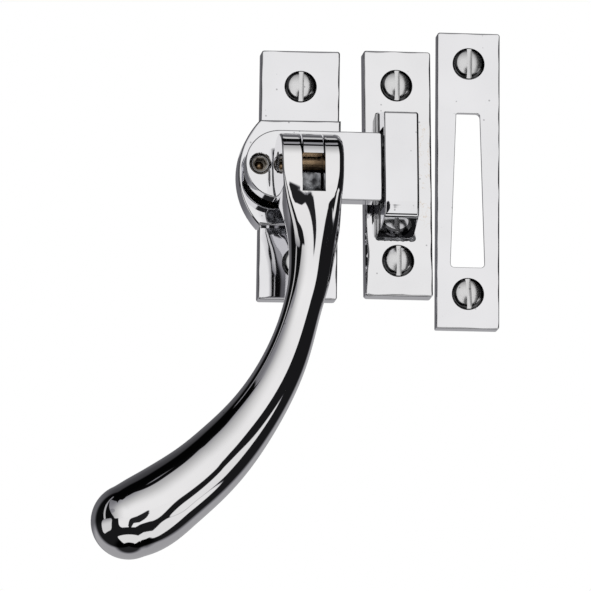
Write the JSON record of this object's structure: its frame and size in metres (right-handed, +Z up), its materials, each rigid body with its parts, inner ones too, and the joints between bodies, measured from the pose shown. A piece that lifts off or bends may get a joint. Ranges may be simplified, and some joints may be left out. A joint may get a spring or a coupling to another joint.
{
  "type": "casement window fastener",
  "caption": "Locking casement window fastener with a curved bulb-end handle, a pivoting latch arm, a hook plate and a mortice plate.",
  "frame": {"origin": "on the latch arm's pivot axis, where it meets the face of the window's wood, which is the back of all three plates", "axes": "+X from the fastener towards the hook plate, +Y into the wood, +Z up the window; the handle hangs down and stands out towards -Y"},
  "size_m": [0.1084, 0.0487, 0.1431],
  "materials": {
    "polished_chrome": "mirror-polished chrome plate on flat brass castings",
    "handle_chrome": "mirror-polished chrome plate on the round handle",
    "screw_chrome": "chrome-plated wood screw, a little duller than the plates",
    "spring_steel": "plain steel, as turned",
    "blackened_steel": "dark oiled steel",
    "brass": "dull unplated brass"
  },
  "bodies": {
    "fixed_plates": {"backplate": "polished_chrome", "hook_plate": "polished_chrome", "hook_block": "polished_chrome", "mortice_plate": "polished_chrome", "friction_washer": "brass", "spring_washer": "spring_steel", "backplate_screw_upper": "screw_chrome", "backplate_screw_lower": "screw_chrome", "hook_plate_screw_upper": "screw_chrome", "hook_plate_screw_lower": "screw_chrome", "mortice_plate_screw_upper": "screw_chrome", "mortice_plate_screw_lower": "screw_chrome"},
    "arm": {"latch_arm": "polished_chrome", "pivot_spindle": "spring_steel"},
    "handle": {"handle": "handle_chrome", "handle_pin": "brass", "pin_set_screw": "blackened_steel"},
    "lock_screw": {"lock_screw": "blackened_steel"}
  },
  "joints": [
    {"name": "arm_turn", "type": "hinge", "parent": "fixed_plates", "child": "arm", "pos_m": [0, 0, 0], "axis": [0, 1, 0], "range_deg": [0, 180]},
    {"name": "handle_reverse", "type": "hinge", "parent": "arm", "child": "handle", "pos_m": [0, -0.0235, -0.0015], "axis": [-1, 0, 0], "range_deg": [0, 180]},
    {"name": "lock_travel", "type": "slide", "parent": "arm", "child": "lock_screw", "axis": [0, 1, 0], "range_m": [0, 0.0033]}
  ]
}
